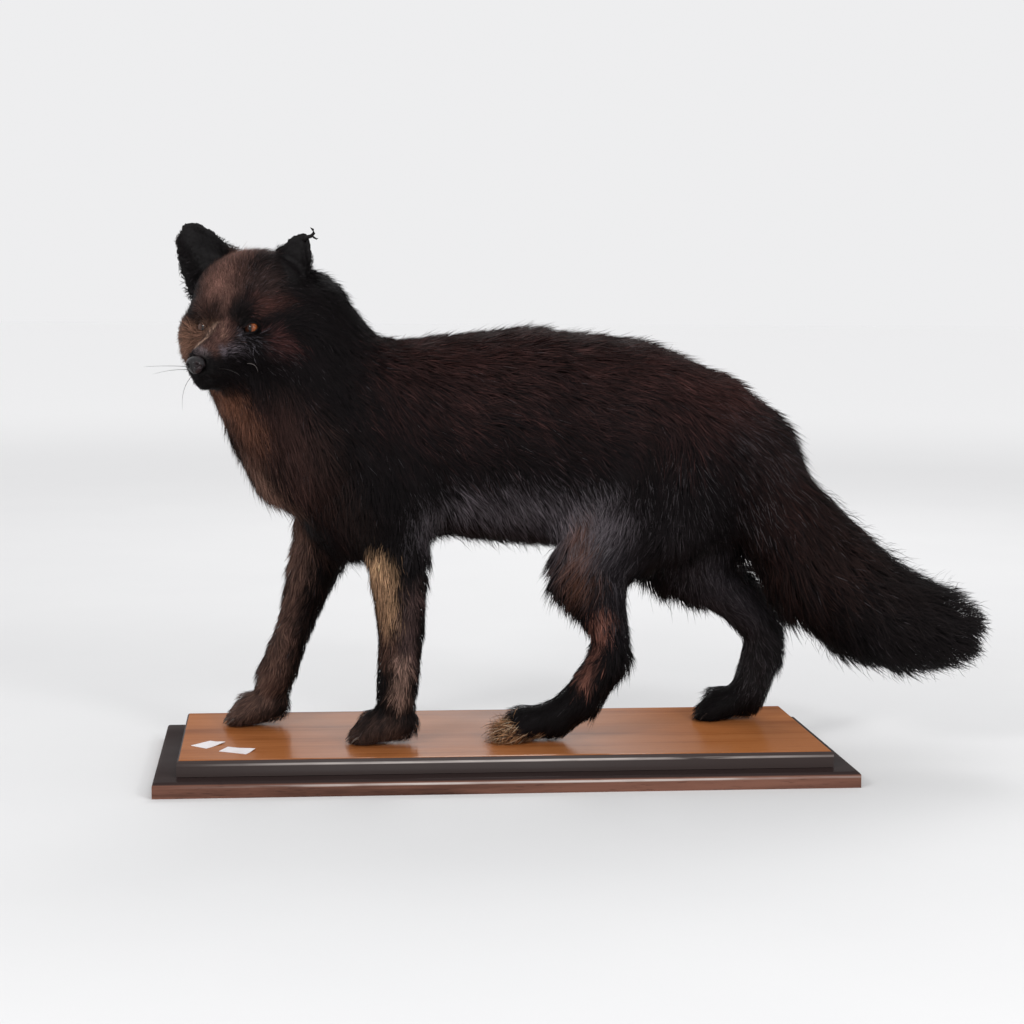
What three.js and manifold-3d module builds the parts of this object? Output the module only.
// A mounted fox of the dark colour form, walking, on a two-tier mahogany plinth.
//
// Millimetres, +Z up. The plinth's length runs along X. The fox walks towards -X, so its left
// side faces -Y, and it turns its head to that side. The origin is the centre of the plinth's
// underside. Every flesh node reaches out to the tips of the coat.
//
// The flesh is one smooth body, made of named muscle volumes that flow into each other, and it
// is parted into head, neck, trunk, tail, legs and paws by thin cuts.
import * as THREE from 'three';
import { mergeVertices } from 'three/addons/utils/BufferGeometryUtils.js';
import Module from 'manifold-3d';

const wasm = await Module();
wasm.setup();

// ---------------------------------------------------------------- driving dimensions

const SEAM = 0.4; // clear gap between touching pieces

const PLINTH = {
  length: 710, // lower board
  depth: 296,
  lowerHeight: 16,
  upperHeight: 16.65,
  step: 23, // how far the upper board stands back from the lower one's edges
  arris: 4, // radius of the rounded edges
};
const DECK = PLINTH.lowerHeight + SEAM + PLINTH.upperHeight; // height the paws stand at

const MIDLINE = 5; // Y of the fox's spine, a little behind the plinth's centre line
const EYE_RADIUS = 8;
const EYE_SPACING = 52; // between the eyes' centres
const EYE_SET_BACK = 4.5; // behind the bridge's foremost point
const NOSE_AHEAD = 62; // nose pad's centre ahead of the eyes
const NOSE_TO_RIGHT = 3; // the muzzle was mounted a little askew
const NOSE_BELOW = 35;
const NOSE_SIZE = [9, 9.8, 9.5]; // half length, half width, half height
const CROWN_ABOVE = 74; // top of the forehead's coat above the eyes
const RUFF_HALF_WIDTH = 63; // cheek ruffs, from the head's middle plane

const HEAD_YAW = THREE.MathUtils.degToRad(25); // face's turn from straight towards -Y
const EYE_LINE = [-282, -50, 459]; // point midway between the eyes

// Size of one facet on each part of the body
const FACET = { trunk: 24, neck: 18, head: 9.4, tail: 21, leg: 13.5, paw: 10 };

// How far apart two volumes still flow into each other
const BLEND = {
  chain: 4,
  foot: 8,
  face: 13,
  socket: 6,
  head: 20,
  torso: 22,
  limb: 24,
};

// ---------------------------------------------------------------- smooth volumes

// Distances are negative inside a volume. The second coordinate is the sideways one, and
// narrow > 1 makes a volume narrower that way.

function smoothUnion(first, second, blend) {
  const overlap = Math.max(blend - Math.abs(first - second), 0) / blend;
  return Math.min(first, second) - (overlap * overlap * blend) / 4;
}

// Two balls with the cone that wraps them, as a muscle lies along its bone
function muscle(from, to, fromRadius, toRadius, narrow = 1) {
  const start = [from[0], from[1] * narrow, from[2]];
  const axis = [to[0] - from[0], (to[1] - from[1]) * narrow, to[2] - from[2]];
  const lengthSquared = axis[0] ** 2 + axis[1] ** 2 + axis[2] ** 2;
  const taper = fromRadius - toRadius;
  const coneSquared = lengthSquared - taper * taper;
  return (x, y, z) => {
    const px = x - start[0];
    const py = y * narrow - start[1];
    const pz = z - start[2];
    const along = px * axis[0] + py * axis[1] + pz * axis[2];
    const beyond = along - lengthSquared;
    const crossX = px * lengthSquared - axis[0] * along;
    const crossY = py * lengthSquared - axis[1] * along;
    const crossZ = pz * lengthSquared - axis[2] * along;
    const across = crossX ** 2 + crossY ** 2 + crossZ ** 2;
    const fromSide = Math.sign(taper) * taper * taper * across;
    if (Math.sign(beyond) * coneSquared * beyond ** 2 * lengthSquared > fromSide) {
      return Math.sqrt(across + beyond ** 2 * lengthSquared) / lengthSquared - toRadius;
    }
    if (Math.sign(along) * coneSquared * along ** 2 * lengthSquared < fromSide) {
      return Math.sqrt(across + along ** 2 * lengthSquared) / lengthSquared - fromRadius;
    }
    const slant = Math.sqrt(across * coneSquared / lengthSquared);
    return (slant + along * taper) / lengthSquared - fromRadius;
  };
}

function ball(centre, halfSizes) {
  return (x, y, z) => {
    const px = (x - centre[0]) / halfSizes[0];
    const py = (y - centre[1]) / halfSizes[1];
    const pz = (z - centre[2]) / halfSizes[2];
    const scaled = Math.hypot(px, py, pz);
    const steepness = Math.hypot(px / halfSizes[0], py / halfSizes[1], pz / halfSizes[2]);
    return steepness > 0 ? (scaled * (scaled - 1)) / steepness : -Math.min(...halfSizes);
  };
}

function blendAll(volumes, blend) {
  return (x, y, z) => {
    let distance = volumes[0](x, y, z);
    for (let i = 1; i < volumes.length; i += 1) {
      distance = smoothUnion(distance, volumes[i](x, y, z), blend);
    }
    return distance;
  };
}

// A row of [centre, radius] balls, each wrapped with the next
function chain(balls, narrow = 1) {
  const links = balls.slice(1).map(([centre, radius], i) => {
    const [before, radiusBefore] = balls[i];
    return muscle(before, centre, radiusBefore, radius, narrow);
  });
  return blendAll(links, BLEND.chain);
}

// ---------------------------------------------------------------- the trunk and neck

const spine = chain([
  [[-112, MIDLINE, 349], 98], // chest
  [[25, MIDLINE, 350], 110], // last rib
  [[125, MIDLINE, 348], 102], // loin
  [[200, MIDLINE, 335], 86], // hip
  [[248, MIDLINE, 328], 63], // rump
], 1.34);

const neck = chain([[[-158, MIDLINE, 354], 79], [[-217, -2, 457], 64.5]], 1.12);

const torso = blendAll([
  spine,
  neck,
  chain([[[-202, MIDLINE, 336], 68], [[-229, -4, 370], 58], [[-246, -16, 394], 51]], 1.15), // ruff
  ball([-150, MIDLINE, 278], [58, 50, 58]), // breastbone
  muscle([-98, -24, 386], [-120, -38, 300], 44, 42), // left shoulder
  muscle([-120, 34, 386], [-160, 46, 300], 44, 42), // right shoulder
  ball([165, -30, 305], [84, 42, 88]), // left haunch
  ball([212, 38, 298], [72, 42, 84]), // right haunch
], BLEND.torso);

// ---------------------------------------------------------------- tail and legs

const tail = chain([
  [[264, 3, 325], 44],
  [[296, -2, 266], 53],
  [[336, -7, 212], 60],
  [[387, -10, 169], 58],
  [[432, -12, 149], 52],
  [[474, -14, 142], 45],
], 1.06);

const SOLE = DECK + SEAM; // paws are cut flat here
const PAW_RISE = 19; // centre of a paw above its sole
const TOE = {
  spread: [-16, -5.5, 5.5, 16], // sideways places of the four tips
  reach: 27, // of the middle toes, ahead of the paw's centre
  pull: 0.45, // the outer toes reach less far, by this share of their spread
  rootRadius: 11,
  tipRadius: 9,
  tipHeight: 8,
};

// A paw: the pad's mass behind four toes that fan out from it
function paw(x, y, heelBack) {
  const height = SOLE + PAW_RISE;
  const toes = TOE.spread.map((spread) => {
    const root = [x - 2, y + spread * 0.6, height - 4];
    const tip = [x - TOE.reach + Math.abs(spread) * TOE.pull, y + spread, SOLE + TOE.tipHeight];
    return muscle(root, tip, TOE.rootRadius, TOE.tipRadius);
  });
  const heel = muscle([x + heelBack, y, height + 2], [x - 6, y, height], 18, 19, 1.05);
  return [heel, ...toes];
}

// Each leg lists its joints from the trunk down, and ends in its paw. Its box holds all of the
// leg that stands clear of the trunk: low X, high X, low Y, high Y.
const LEGS = {
  foreleg_left: {
    shape: blendAll([
      chain([[[-114, -42, 292], 42], [[-109, -49, 226], 33]], 1.15), // upper arm
      chain([[[-109, -50, 226], 33], [[-106, -51, 150], 24], [[-110, -52, 84], 22.5]], 1.1),
      ...paw(-126, -52, 22),
    ], BLEND.foot),
    box: [-185, -60, -112, 2],
  },
  foreleg_right: {
    shape: blendAll([
      chain([[[-164, 44, 300], 42], [[-187, 53, 226], 32]], 1.15), // upper arm
      chain([[[-187, 53, 226], 32], [[-212, 54, 146], 20], [[-235, 55, 84], 22]], 1.05),
      ...paw(-254, 55, 18),
    ], BLEND.foot),
    box: [-300, -128, 8, 118],
  },
  hindleg_left: {
    shape: blendAll([
      chain([[[140, -34, 290], 67], [[88, -44, 214], 43]], 1.5), // thigh
      chain([[[90, -44, 215], 41], [[109, -49, 154], 21], [[113, -50, 126], 21.5]], 1.15),
      chain([[[111, -50, 120], 22], [[84, -50, 78], 21.5], [[55, -50, 56], 19.5]], 1.05),
      ...paw(27, -50, 26),
    ], BLEND.foot),
    box: [-20, 168, -122, 2],
  },
  hindleg_right: {
    shape: blendAll([
      chain([[[206, 40, 285], 66], [[226, 46, 208], 46]], 1.4), // thigh
      chain([[[188, 44, 210], 35], [[232, 46, 204], 38]], 1.4), // long coat under the thigh
      chain([[[236, 48, 200], 37], [[292, 51, 140], 24], [[296, 52, 108], 22.5]], 1.15),
      chain([[[296, 52, 108], 22.5], [[280, 52, 62], 20.5]], 1.05),
      ...paw(256, 52, 20),
    ], BLEND.foot),
    box: [128, 345, 8, 122],
  },
};

// ---------------------------------------------------------------- the head

// The head has its own frame: ahead of the eyes, to the fox's left of them, and above them.
const ahead = [-Math.sin(HEAD_YAW), -Math.cos(HEAD_YAW)];
const toLeft = [Math.cos(HEAD_YAW), -Math.sin(HEAD_YAW)];

function fromHead([forward, left, up]) {
  return [
    EYE_LINE[0] + forward * ahead[0] + left * toLeft[0],
    EYE_LINE[1] + forward * ahead[1] + left * toLeft[1],
    EYE_LINE[2] + up,
  ];
}

const bothSides = (make) => [make(-1), make(1)];
const SKULL_TOP = 26; // height of the braincase's middle above the eyes

const headVolumes = blendAll([
  ball([-42, 0, SKULL_TOP], [46, 53, CROWN_ABOVE - SKULL_TOP]), // braincase and forehead
  ...bothSides((side) => ball([-42, side * 35, -14], [44, RUFF_HALF_WIDTH - 35, 43])), // ruffs
  ...bothSides((side) => muscle([-4, side * 27, -15], [-34, side * 46, -8], 13, 22)), // cheeks
  ...bothSides((side) => ball([-5, side * 20, 19], [14, 16, 11])), // brows
  ball([-46, 14, 53], [26, 34, 26]), // tuft of the crown
  muscle([2, 0, -18], [51, -NOSE_TO_RIGHT, -35], 26, 14.2, 1.02), // muzzle
  muscle([-4, 0, -50], [43, -NOSE_TO_RIGHT, -50], 19, 9.5, 0.9), // lower jaw
], BLEND.face);

const SOCKET_RADIUS = 11; // of the shallow dish that the eye lies in
const SOCKET_PLACE = [11, 30, 1];

const socketDishes = bothSides((side) => {
  const [forward, left, up] = SOCKET_PLACE;
  return ball([forward, side * left, up], [SOCKET_RADIUS, SOCKET_RADIUS, SOCKET_RADIUS]);
});

function headShape(x, y, z) {
  const dx = x - EYE_LINE[0];
  const dy = y - EYE_LINE[1];
  const forward = dx * ahead[0] + dy * ahead[1];
  const left = dx * toLeft[0] + dy * toLeft[1];
  const up = z - EYE_LINE[2];
  let distance = headVolumes(forward, left, up);
  for (const dish of socketDishes) {
    distance = -smoothUnion(-distance, dish(forward, left, up), BLEND.socket);
  }
  return distance;
}

const withTorso = (shape, blend) => (x, y, z) => smoothUnion(torso(x, y, z), shape(x, y, z), blend);
const headOnTorso = withTorso(headShape, BLEND.head);
const tailOnTorso = withTorso(tail, BLEND.limb);
const legsOnTorso = Object.fromEntries(
  Object.entries(LEGS).map(([name, leg]) => [name, withTorso(leg.shape, BLEND.limb)]),
);

function wholeBody(x, y, z) {
  const parts = [headOnTorso, tailOnTorso, ...Object.values(legsOnTorso)];
  return Math.min(...parts.map((part) => part(x, y, z)));
}

// ---------------------------------------------------------------- surfaces from volumes

const CORNERS = [0, 1, 2, 3, 4, 5, 6, 7].map((i) => [i & 1, (i >> 1) & 1, (i >> 2) & 1]);
const CELL_EDGES = CORNERS.flatMap((corner, i) =>
  [0, 1, 2].filter((axis) => corner[axis] === 0).map((axis) => [i, i + (1 << axis)]),
);

const WITHIN_CELL = 0.47; // how far a vertex may leave its cell's middle, in cells
const SLIDES = 4; // steps of each vertex towards the surface
const PROBE = 0.5; // millimetres between the two places that give a slope
const LEAST_SLOPE = 0.2;

// The closed surface where distance is offset, inside a box. Each cell that the surface crosses
// gets one vertex, each grid edge that crosses it joins four of them, and then the vertices
// slide along the slope onto the surface itself.
function surfaceGeometry(distance, [low, high], cell, offset = 0) {
  const inBox = (x, y, z) => Math.max(
    distance(x, y, z) - offset,
    low[0] - x, x - high[0], low[1] - y, y - high[1], low[2] - z, z - high[2],
  );
  const counts = [0, 1, 2].map((axis) => Math.ceil((high[axis] - low[axis]) / cell) + 4);
  const place = (...step) => step.map((count, axis) => low[axis] + (count - 1.5) * cell);
  const indexOf = (i, j, k) => (k * counts[1] + j) * counts[0] + i;
  const values = new Float64Array(counts[0] * counts[1] * counts[2]);
  eachCell(counts, (i, j, k) => {
    values[indexOf(i, j, k)] = inBox(...place(i, j, k));
  });

  const vertexOf = new Map();
  const positions = [];
  eachCell(counts.map((count) => count - 1), (i, j, k) => {
    const corner = CORNERS.map(([a, b, c]) => values[indexOf(i + a, j + b, k + c)]);
    const crossings = CELL_EDGES.filter(([a, b]) => (corner[a] < 0) !== (corner[b] < 0));
    if (crossings.length === 0) return;
    const middle = [0, 0, 0];
    for (const [a, b] of crossings) {
      const share = corner[a] / (corner[a] - corner[b]);
      for (const axis of [0, 1, 2]) {
        const crossing = CORNERS[a][axis] + share * (CORNERS[b][axis] - CORNERS[a][axis]);
        middle[axis] += crossing / crossings.length;
      }
    }
    vertexOf.set(indexOf(i, j, k), positions.length / 3);
    const start = place(i + middle[0], j + middle[1], k + middle[2]);
    positions.push(...slideOnto(inBox, start, place(i + 0.5, j + 0.5, k + 0.5), cell * WITHIN_CELL));
  });

  const triangles = [];
  eachCell(counts.map((count) => count - 1), (i, j, k) => {
    const here = values[indexOf(i, j, k)] < 0;
    for (const axis of [0, 1, 2]) {
      const step = [0, 0, 0];
      step[axis] = 1;
      const there = values[indexOf(i + step[0], j + step[1], k + step[2])] < 0;
      if (here === there) continue;
      const across = [0, 0, 0];
      const along = [0, 0, 0];
      across[(axis + 1) % 3] = 1;
      along[(axis + 2) % 3] = 1;
      const around = [[0, 0], [1, 0], [1, 1], [0, 1]].map(([a, b]) => {
        const neighbour = [i, j, k].map((count, side) => count - a * across[side] - b * along[side]);
        return vertexOf.get(indexOf(...neighbour));
      });
      const [a, b, c, d] = here ? around : [...around].reverse();
      if (gapBetween(positions, a, c) < gapBetween(positions, b, d)) {
        triangles.push(a, b, c, a, c, d);
      } else {
        triangles.push(a, b, d, b, c, d);
      }
    }
  });

  const geometry = new THREE.BufferGeometry();
  geometry.setAttribute('position', new THREE.Float32BufferAttribute(positions, 3));
  geometry.setIndex(triangles);
  return geometry;
}

function eachCell(counts, visit) {
  for (let k = 0; k < counts[2]; k += 1) {
    for (let j = 0; j < counts[1]; j += 1) {
      for (let i = 0; i < counts[0]; i += 1) visit(i, j, k);
    }
  }
}

function gapBetween(positions, first, second) {
  const gaps = [0, 1, 2].map((axis) => positions[3 * first + axis] - positions[3 * second + axis]);
  return Math.hypot(...gaps);
}

// The point nearest along the slope where distance is zero, never leaving its own cell
function slideOnto(distance, start, cellMiddle, halfCell) {
  const point = [...start];
  for (let round = 0; round < SLIDES; round += 1) {
    const here = distance(...point);
    const slope = [0, 1, 2].map((axis) => {
      const shifted = [...point];
      shifted[axis] += PROBE;
      return (distance(...shifted) - here) / PROBE;
    });
    const steepness = Math.max(slope[0] ** 2 + slope[1] ** 2 + slope[2] ** 2, LEAST_SLOPE);
    for (const axis of [0, 1, 2]) {
      const travelled = point[axis] - (here / steepness) * slope[axis];
      const [low, high] = [cellMiddle[axis] - halfCell, cellMiddle[axis] + halfCell];
      point[axis] = THREE.MathUtils.clamp(travelled, low, high);
    }
  }
  return point;
}

// ---------------------------------------------------------------- cutting and joining

function solidOf(geometry, matrix = new THREE.Matrix4()) {
  const bare = geometry.clone().applyMatrix4(matrix);
  for (const name of Object.keys(bare.attributes)) {
    if (name !== 'position') bare.deleteAttribute(name);
  }
  const merged = mergeVertices(bare, 1e-4);
  return new wasm.Manifold(new wasm.Mesh({
    numProp: 3,
    vertProperties: Float32Array.from(merged.attributes.position.array),
    triVerts: Uint32Array.from(merged.index.array),
  }));
}

function geometryOf(solid) {
  const mesh = solid.getMesh();
  const geometry = new THREE.BufferGeometry();
  geometry.setAttribute('position', new THREE.Float32BufferAttribute(mesh.vertProperties, 3));
  geometry.setIndex([...mesh.triVerts]);
  geometry.computeVertexNormals();
  return geometry;
}

const BLOCK = 1400; // edge of the blocks that stand for one side of a cut

// Everything on the side of a plane that its normal points to, starting clear of the plane
function sideOf([x, y, z], normal, clearance = SEAM / 2) {
  const direction = new THREE.Vector3(...normal).normalize();
  const turn = new THREE.Quaternion().setFromUnitVectors(new THREE.Vector3(0, 0, 1), direction);
  const centre = new THREE.Vector3(x, y, z).addScaledVector(direction, BLOCK / 2 + clearance);
  const matrix = new THREE.Matrix4().compose(centre, turn, new THREE.Vector3(1, 1, 1));
  return solidOf(new THREE.BoxGeometry(BLOCK, BLOCK, BLOCK), matrix);
}

function boxBetween(low, high) {
  const size = high.map((value, axis) => value - low[axis]);
  const matrix = new THREE.Matrix4().makeTranslation(
    (low[0] + high[0]) / 2, (low[1] + high[1]) / 2, (low[2] + high[2]) / 2,
  );
  return solidOf(new THREE.BoxGeometry(...size), matrix);
}

// Only the largest piece of a cut is kept, so that no crumb is left beside it
function largestPiece(solid) {
  const pieces = solid.decompose();
  return pieces.reduce((best, piece) => (piece.volume() > best.volume() ? piece : best));
}

// ---------------------------------------------------------------- materials

function matte(colour, roughness = 0.9) {
  return new THREE.MeshStandardMaterial({ color: colour, roughness, metalness: 0 });
}

const MATERIALS = {
  blackCoat: matte('#17120f'),
  brownCoat: matte('#3a2118'),
  headCoat: matte('#33211a'),
  pawCoat: matte('#2c1e16'),
  earSkin: matte('#141213', 0.8),
  nose: matte('#1d1614', 0.4),
  glassEye: matte('#b5561a', 0.05),
  mahogany: matte('#8f4a28', 0.25),
  darkMahogany: matte('#35160e', 0.3),
};

const fox = new THREE.Group();

function add(name, geometry, material) {
  const mesh = new THREE.Mesh(geometry, material);
  mesh.name = name;
  fox.add(mesh);
}

// ---------------------------------------------------------------- the cuts

const THROAT_CUT = { at: [-232, -4, 440], facing: [-0.6, -0.35, 0.72] };
const SHOULDER_CUT = { at: [-168, MIDLINE, 380], facing: [-0.78, 0, 0.62] };
const TAIL_CUT = { at: [262, 0, 215], facing: [0.96, 0, -0.28] };
const LEG_TOP = { foreleg: 212, hindleg: 205 };
const WRIST = 76; // height where the paws are cut from the legs
const OVERLAP = 15; // how far a surface is made past the cut that ends it

const backwards = (direction) => direction.map((value) => -value);
const towards = (cut) => sideOf(cut.at, cut.facing);
const behind = (cut) => sideOf(cut.at, backwards(cut.facing));

function buildHead() {
  const reach = [[-355, -135, 360], [-150, 90, 560]];
  const rough = solidOf(surfaceGeometry(headOnTorso, reach, FACET.head));
  return rough.intersect(towards(THROAT_CUT));
}

function buildNeck() {
  const reach = [[-330, -110, 250], [-90, 110, 560]];
  const rough = solidOf(surfaceGeometry(headOnTorso, reach, FACET.neck));
  return rough.intersect(behind(THROAT_CUT)).intersect(towards(SHOULDER_CUT));
}

function legBox(name, clearance = 0) {
  const [xLow, xHigh, yLow, yHigh] = LEGS[name].box;
  const top = LEG_TOP[name.split('_')[0]];
  const low = [xLow - clearance, yLow - clearance, 0];
  const high = [xHigh + clearance, yHigh + clearance, top + clearance];
  return boxBetween(low, high);
}

function buildTrunk() {
  const reach = [[-330, -120, 150], [345, 125, 490]];
  let trunk = solidOf(surfaceGeometry(wholeBody, reach, FACET.trunk));
  trunk = trunk.intersect(behind(SHOULDER_CUT)).intersect(behind(TAIL_CUT));
  for (const name of Object.keys(LEGS)) {
    trunk = trunk.subtract(legBox(name, SEAM));
  }
  return largestPiece(trunk);
}

function buildTail() {
  const reach = [[230, -80, 60], [545, 80, 400]];
  const rough = solidOf(surfaceGeometry(tailOnTorso, reach, FACET.tail));
  return largestPiece(rough.intersect(towards(TAIL_CUT)));
}

function buildLeg(name) {
  const [xLow, xHigh, yLow, yHigh] = LEGS[name].box;
  const upper = [[xLow, yLow, WRIST - OVERLAP], [xHigh, yHigh, LEG_TOP.foreleg + 2 * OVERLAP]];
  const lower = [[xLow - OVERLAP, yLow, SOLE - OVERLAP], [xHigh, yHigh, WRIST + OVERLAP]];
  const shape = legsOnTorso[name];
  const leg = solidOf(surfaceGeometry(shape, upper, FACET.leg))
    .intersect(legBox(name))
    .intersect(sideOf([0, 0, WRIST], [0, 0, 1]));
  const foot = solidOf(surfaceGeometry(shape, lower, FACET.paw))
    .intersect(sideOf([0, 0, WRIST], [0, 0, -1]))
    .intersect(sideOf([0, 0, SOLE], [0, 0, 1], 0));
  return { leg: largestPiece(leg), foot: largestPiece(foot) };
}

// ---------------------------------------------------------------- ears, eyes and nose

// A closed skin over a row of rings of equal point counts, with a fan over each end
function loft(rings) {
  const positions = [];
  const triangles = [];
  const around = rings[0].length;
  for (const ring of rings) {
    for (const point of ring) positions.push(...point);
  }
  for (let row = 0; row < rings.length - 1; row += 1) {
    for (let i = 0; i < around; i += 1) {
      const next = (i + 1) % around;
      const [a, b] = [row * around + i, row * around + next];
      triangles.push(a, b, b + around, a, b + around, a + around);
    }
  }
  const top = (rings.length - 1) * around;
  for (let i = 0; i < around / 2 - 1; i += 1) {
    const [near, far] = [i, around - 1 - i];
    triangles.push(near, far, near + 1, far, far - 1, near + 1);
    triangles.push(top + near, top + near + 1, top + far, top + far, top + near + 1, top + far - 1);
  }
  const geometry = new THREE.BufferGeometry();
  geometry.setAttribute('position', new THREE.Float32BufferAttribute(positions, 3));
  geometry.setIndex(triangles);
  return geometry;
}

const EAR = {
  rows: 6,
  columns: 6,
  thickness: 5,
  thinning: 0.35, // share of its thickness lost by the tip
  edgeThinning: 0.55, // and at both edges
  flattening: 0.6, // share of its hollow lost by the tip
  closesFrom: 0.75, // of its height
  tipWidth: 0.5, // how much of the width is left at the tip
};

// An ear is a cupped leaf between its outer and inner edge. Its blunt tip closes in on itself.
function earGeometry({ outer, inner, cup }) {
  const edgeThrough = (points) => (
    new THREE.QuadraticBezierCurve3(...points.map((point) => new THREE.Vector3(...point)))
  );
  const outerEdge = edgeThrough(outer);
  const innerEdge = edgeThrough(inner);
  const onTheLeft = outer[0][1] > 0; // a mirrored ear winds its rings the other way
  const rings = [];
  for (let row = 0; row <= EAR.rows; row += 1) {
    const height = row / EAR.rows;
    const closed = Math.max(0, (height - EAR.closesFrom) / (1 - EAR.closesFrom));
    const closing = 1 - (1 - EAR.tipWidth) * closed ** 2;
    const middle = outerEdge.getPoint(height).lerp(innerEdge.getPoint(height), 0.5);
    const half = innerEdge.getPoint(height).sub(middle).multiplyScalar(closing);
    const front = [];
    const back = [];
    for (let column = 0; column <= EAR.columns; column += 1) {
      const across = (2 * column) / EAR.columns - 1;
      const hollow = cup * (1 - across ** 2) * (1 - EAR.flattening * height);
      const toEdge = 1 - EAR.edgeThinning * across ** 4;
      const thickness = EAR.thickness * (1 - EAR.thinning * height) * toEdge;
      const point = middle.clone().addScaledVector(half, across);
      front.push(fromHead([point.x - hollow + thickness / 2, point.y, point.z]));
      back.unshift(fromHead([point.x - hollow - thickness / 2, point.y, point.z]));
    }
    const ring = [...front, ...back];
    rings.push(onTheLeft ? ring.reverse() : ring);
  }
  return loft(rings);
}

// Each ear's edges in the head's frame, as the two ends and the pull between them, from the
// base to the tip. The cup is the depth of its hollow.
const EARS = {
  ear_right: {
    outer: [[-36, -54, 24], [-46, -84, 62], [-52, -86, 105]],
    inner: [[-50, 3, 70], [-46, -27, 84], [-52, -51, 107]],
    cup: 15,
  },
  ear_left: {
    outer: [[-44, 61, 22], [-54, 76, 62], [-56, 64, 95]],
    inner: [[-44, 14, 58], [-45, 34, 83], [-54, 53, 98]],
    cup: 14,
  },
};

const eyePlaces = bothSides((side) => fromHead([-EYE_SET_BACK, (side * EYE_SPACING) / 2, 0]));
const nosePlace = fromHead([NOSE_AHEAD, -NOSE_TO_RIGHT, -NOSE_BELOW]);
const ROUND = [12, 8]; // facets round and down an eye or the nose

function eyeSolid(place, clearance = 0) {
  const matrix = new THREE.Matrix4().makeTranslation(...place);
  return solidOf(new THREE.SphereGeometry(EYE_RADIUS + clearance, ...ROUND), matrix);
}

function noseSolid(clearance = 0) {
  const sizes = NOSE_SIZE.map((size) => size + clearance);
  const matrix = new THREE.Matrix4()
    .makeTranslation(...nosePlace)
    .multiply(new THREE.Matrix4().makeRotationZ(-Math.PI / 2 - HEAD_YAW))
    .multiply(new THREE.Matrix4().makeScale(...sizes));
  return solidOf(new THREE.SphereGeometry(1, ...ROUND), matrix);
}

function buildFace() {
  let head = buildHead();
  for (const place of eyePlaces) head = head.subtract(eyeSolid(place, SEAM));
  head = largestPiece(head.subtract(noseSolid(SEAM)));
  add('head', geometryOf(head), MATERIALS.headCoat);
  add('eye_right', geometryOf(eyeSolid(eyePlaces[0])), MATERIALS.glassEye);
  add('eye_left', geometryOf(eyeSolid(eyePlaces[1])), MATERIALS.glassEye);
  add('nose', geometryOf(noseSolid()), MATERIALS.nose);

  const reach = [[-355, -135, 440], [-150, 95, 560]];
  const headRoom = solidOf(surfaceGeometry(headOnTorso, reach, FACET.head, SEAM * 2));
  for (const [name, shape] of Object.entries(EARS)) {
    const ear = solidOf(earGeometry(shape)).subtract(headRoom);
    add(name, geometryOf(largestPiece(ear)), MATERIALS.earSkin);
  }
}

// ---------------------------------------------------------------- the plinth

function boardGeometry(length, depth, height) {
  const flat = length / 2 - PLINTH.arris;
  const side = depth / 2 - PLINTH.arris;
  const outline = new THREE.Shape();
  outline.moveTo(-flat, -side);
  outline.lineTo(flat, -side);
  outline.lineTo(flat, side);
  outline.lineTo(-flat, side);
  outline.closePath();
  return new THREE.ExtrudeGeometry(outline, {
    depth: height - PLINTH.arris,
    bevelEnabled: true,
    bevelSize: PLINTH.arris,
    bevelThickness: PLINTH.arris,
    bevelSegments: 4,
  });
}

// The bevel rounds both faces, and the cut at the underside leaves it on top only
function buildBoard(length, depth, height, underside) {
  const matrix = new THREE.Matrix4().makeTranslation(0, 0, underside);
  const rounded = solidOf(boardGeometry(length, depth, height), matrix);
  return rounded.intersect(sideOf([0, 0, underside], [0, 0, 1], 0));
}

function buildPlinth() {
  const upperLength = PLINTH.length - 2 * PLINTH.step;
  const upperDepth = PLINTH.depth - 2 * PLINTH.step;
  const lower = buildBoard(PLINTH.length, PLINTH.depth, PLINTH.lowerHeight, 0);
  const upper = buildBoard(upperLength, upperDepth, PLINTH.upperHeight, PLINTH.lowerHeight + SEAM);
  add('plinth_lower_board', geometryOf(lower), MATERIALS.darkMahogany);
  add('plinth_upper_board', geometryOf(upper), MATERIALS.mahogany);
}

// ---------------------------------------------------------------- assembly

buildPlinth();
buildFace();
add('neck', geometryOf(largestPiece(buildNeck())), MATERIALS.blackCoat);
add('trunk', geometryOf(buildTrunk()), MATERIALS.blackCoat);
add('tail', geometryOf(buildTail()), MATERIALS.brownCoat);
for (const name of Object.keys(LEGS)) {
  const { leg, foot } = buildLeg(name);
  add(name, geometryOf(leg), MATERIALS.blackCoat);
  add(name.replace('leg', 'paw'), geometryOf(foot), MATERIALS.pawCoat);
}

export default fox;
